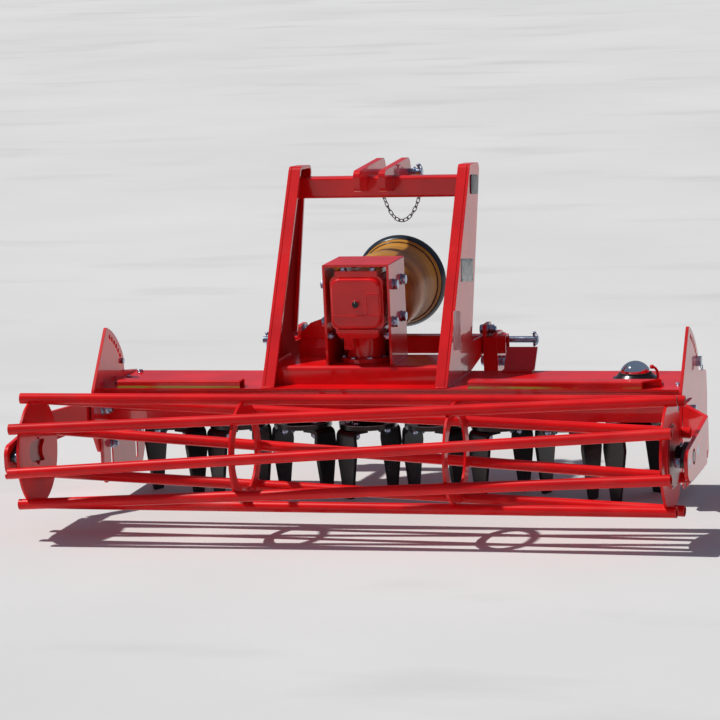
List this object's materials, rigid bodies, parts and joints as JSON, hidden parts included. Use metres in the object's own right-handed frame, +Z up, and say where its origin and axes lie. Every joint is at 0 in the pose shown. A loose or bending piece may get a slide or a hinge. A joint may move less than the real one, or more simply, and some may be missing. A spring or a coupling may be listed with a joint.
{
  "type": "power harrow with cage roller",
  "caption": "Tractor-mounted rotary tiller of the power harrow type: upright rotors with knife tines under a trough, three-point headstock, and a cage roller on depth arms.",
  "frame": {"origin": "bottom centre of the whole machine, on the floor under the tine tips", "axes": "+X to the right seen from behind, along the trough; +Y forward, towards the tractor; +Z up"},
  "size_m": [2.148, 1.3953, 1.0434],
  "materials": {
    "red_enamel": "gloss enamel on steel",
    "black_enamel": "satin black enamel on steel",
    "zinc_plate": "bright zinc plate",
    "bare_steel": "machined steel",
    "chrome_plate": "polished plate",
    "amber_plastic": "moulded plastic, slightly see-through",
    "black_plastic": "moulded black plastic"
  },
  "bodies": {
    "frame": {"trough_pan": "red_enamel", "trough_cover": "red_enamel", "stiffener_beam": "red_enamel", "side_plate_left": "red_enamel", "side_plate_right": "red_enamel", "side_shield_left": "red_enamel", "side_shield_right": "red_enamel", "headstock_mast_left": "red_enamel", "headstock_mast_right": "red_enamel", "headstock_crossbar": "red_enamel", "headstock_base_beam": "red_enamel", "headstock_gusset": "red_enamel", "headstock_step": "red_enamel", "front_step": "red_enamel", "top_link_ears": "red_enamel", "hitch_beam": "red_enamel", "hitch_clamp_left": "red_enamel", "hitch_clamp_right": "red_enamel", "gearbox_housing": "red_enamel", "gearbox_rear_cover": "red_enamel", "gearbox_bracket": "red_enamel", "rotor_bearing_bosses": "black_enamel", "bearing_cap_base": "black_enamel", "top_link_pin": "zinc_plate", "lower_link_pin_left": "zinc_plate", "lower_link_pin_right": "zinc_plate", "depth_pins": "zinc_plate", "roller_pivot_pins": "zinc_plate", "gear_train_block": "bare_steel", "pto_guard": "amber_plastic", "pto_guard_rim": "black_plastic", "bearing_cap_dome": "chrome_plate"},
    "roller_frame": {"roller_arm_left": "red_enamel", "roller_arm_right": "red_enamel", "roller_bearing_left": "black_enamel", "roller_bearing_right": "black_enamel"},
    "roller": {"roller_tubes": "red_enamel", "roller_end_discs": "red_enamel", "roller_rings": "red_enamel", "roller_stub_axles": "red_enamel"},
    "drive_shaft": {"pto_shaft": "bare_steel"},
    "rotor_1": {"rotor_hub_1": "black_enamel", "rotor_tines_1": "black_enamel"},
    "rotor_2": {"rotor_hub_2": "black_enamel", "rotor_tines_2": "black_enamel"},
    "rotor_3": {"rotor_hub_3": "black_enamel", "rotor_tines_3": "black_enamel"},
    "rotor_4": {"rotor_hub_4": "black_enamel", "rotor_tines_4": "black_enamel"},
    "rotor_5": {"rotor_hub_5": "black_enamel", "rotor_tines_5": "black_enamel"},
    "rotor_6": {"rotor_hub_6": "black_enamel", "rotor_tines_6": "black_enamel"},
    "rotor_7": {"rotor_hub_7": "black_enamel", "rotor_tines_7": "black_enamel"},
    "rotor_8": {"rotor_hub_8": "black_enamel", "rotor_tines_8": "black_enamel"}
  },
  "joints": [
    {"name": "roller_depth", "type": "hinge", "parent": "frame", "child": "roller_frame", "pos_m": [0, -0.01224, 0.311], "axis": [-1, 0, 0], "range_deg": [-5, 24]},
    {"name": "roller_spin", "type": "hinge", "parent": "roller_frame", "child": "roller", "pos_m": [0, -0.50624, 0.265], "axis": [1, 0, 0], "continuous": true},
    {"name": "drive_shaft_spin", "type": "hinge", "parent": "frame", "child": "drive_shaft", "pos_m": [-0.11, 0.58776, 0.628], "axis": [0, 1, 0], "continuous": true},
    {"name": "rotor_1_spin", "type": "hinge", "parent": "frame", "child": "rotor_1", "pos_m": [-0.77, 0.15776, 0.2], "axis": [0, 0, 1], "continuous": true},
    {"name": "rotor_2_spin", "type": "hinge", "parent": "frame", "child": "rotor_2", "pos_m": [-0.55, 0.15776, 0.2], "axis": [0, 0, 1], "continuous": true},
    {"name": "rotor_3_spin", "type": "hinge", "parent": "frame", "child": "rotor_3", "pos_m": [-0.33, 0.15776, 0.2], "axis": [0, 0, 1], "continuous": true},
    {"name": "rotor_4_spin", "type": "hinge", "parent": "frame", "child": "rotor_4", "pos_m": [-0.11, 0.15776, 0.2], "axis": [0, 0, 1], "continuous": true},
    {"name": "rotor_5_spin", "type": "hinge", "parent": "frame", "child": "rotor_5", "pos_m": [0.11, 0.15776, 0.2], "axis": [0, 0, 1], "continuous": true},
    {"name": "rotor_6_spin", "type": "hinge", "parent": "frame", "child": "rotor_6", "pos_m": [0.33, 0.15776, 0.2], "axis": [0, 0, 1], "continuous": true},
    {"name": "rotor_7_spin", "type": "hinge", "parent": "frame", "child": "rotor_7", "pos_m": [0.55, 0.15776, 0.2], "axis": [0, 0, 1], "continuous": true},
    {"name": "rotor_8_spin", "type": "hinge", "parent": "frame", "child": "rotor_8", "pos_m": [0.77, 0.15776, 0.2], "axis": [0, 0, 1], "continuous": true}
  ],
  "couplings": [
    {"joint": "drive_shaft_spin", "follows": "rotor_4_spin", "ratio": 1.8462},
    {"joint": "rotor_1_spin", "follows": "rotor_4_spin", "ratio": -1},
    {"joint": "rotor_2_spin", "follows": "rotor_4_spin", "ratio": 1},
    {"joint": "rotor_3_spin", "follows": "rotor_4_spin", "ratio": -1},
    {"joint": "rotor_5_spin", "follows": "rotor_4_spin", "ratio": -1},
    {"joint": "rotor_6_spin", "follows": "rotor_4_spin", "ratio": 1},
    {"joint": "rotor_7_spin", "follows": "rotor_4_spin", "ratio": -1},
    {"joint": "rotor_8_spin", "follows": "rotor_4_spin", "ratio": 1}
  ]
}
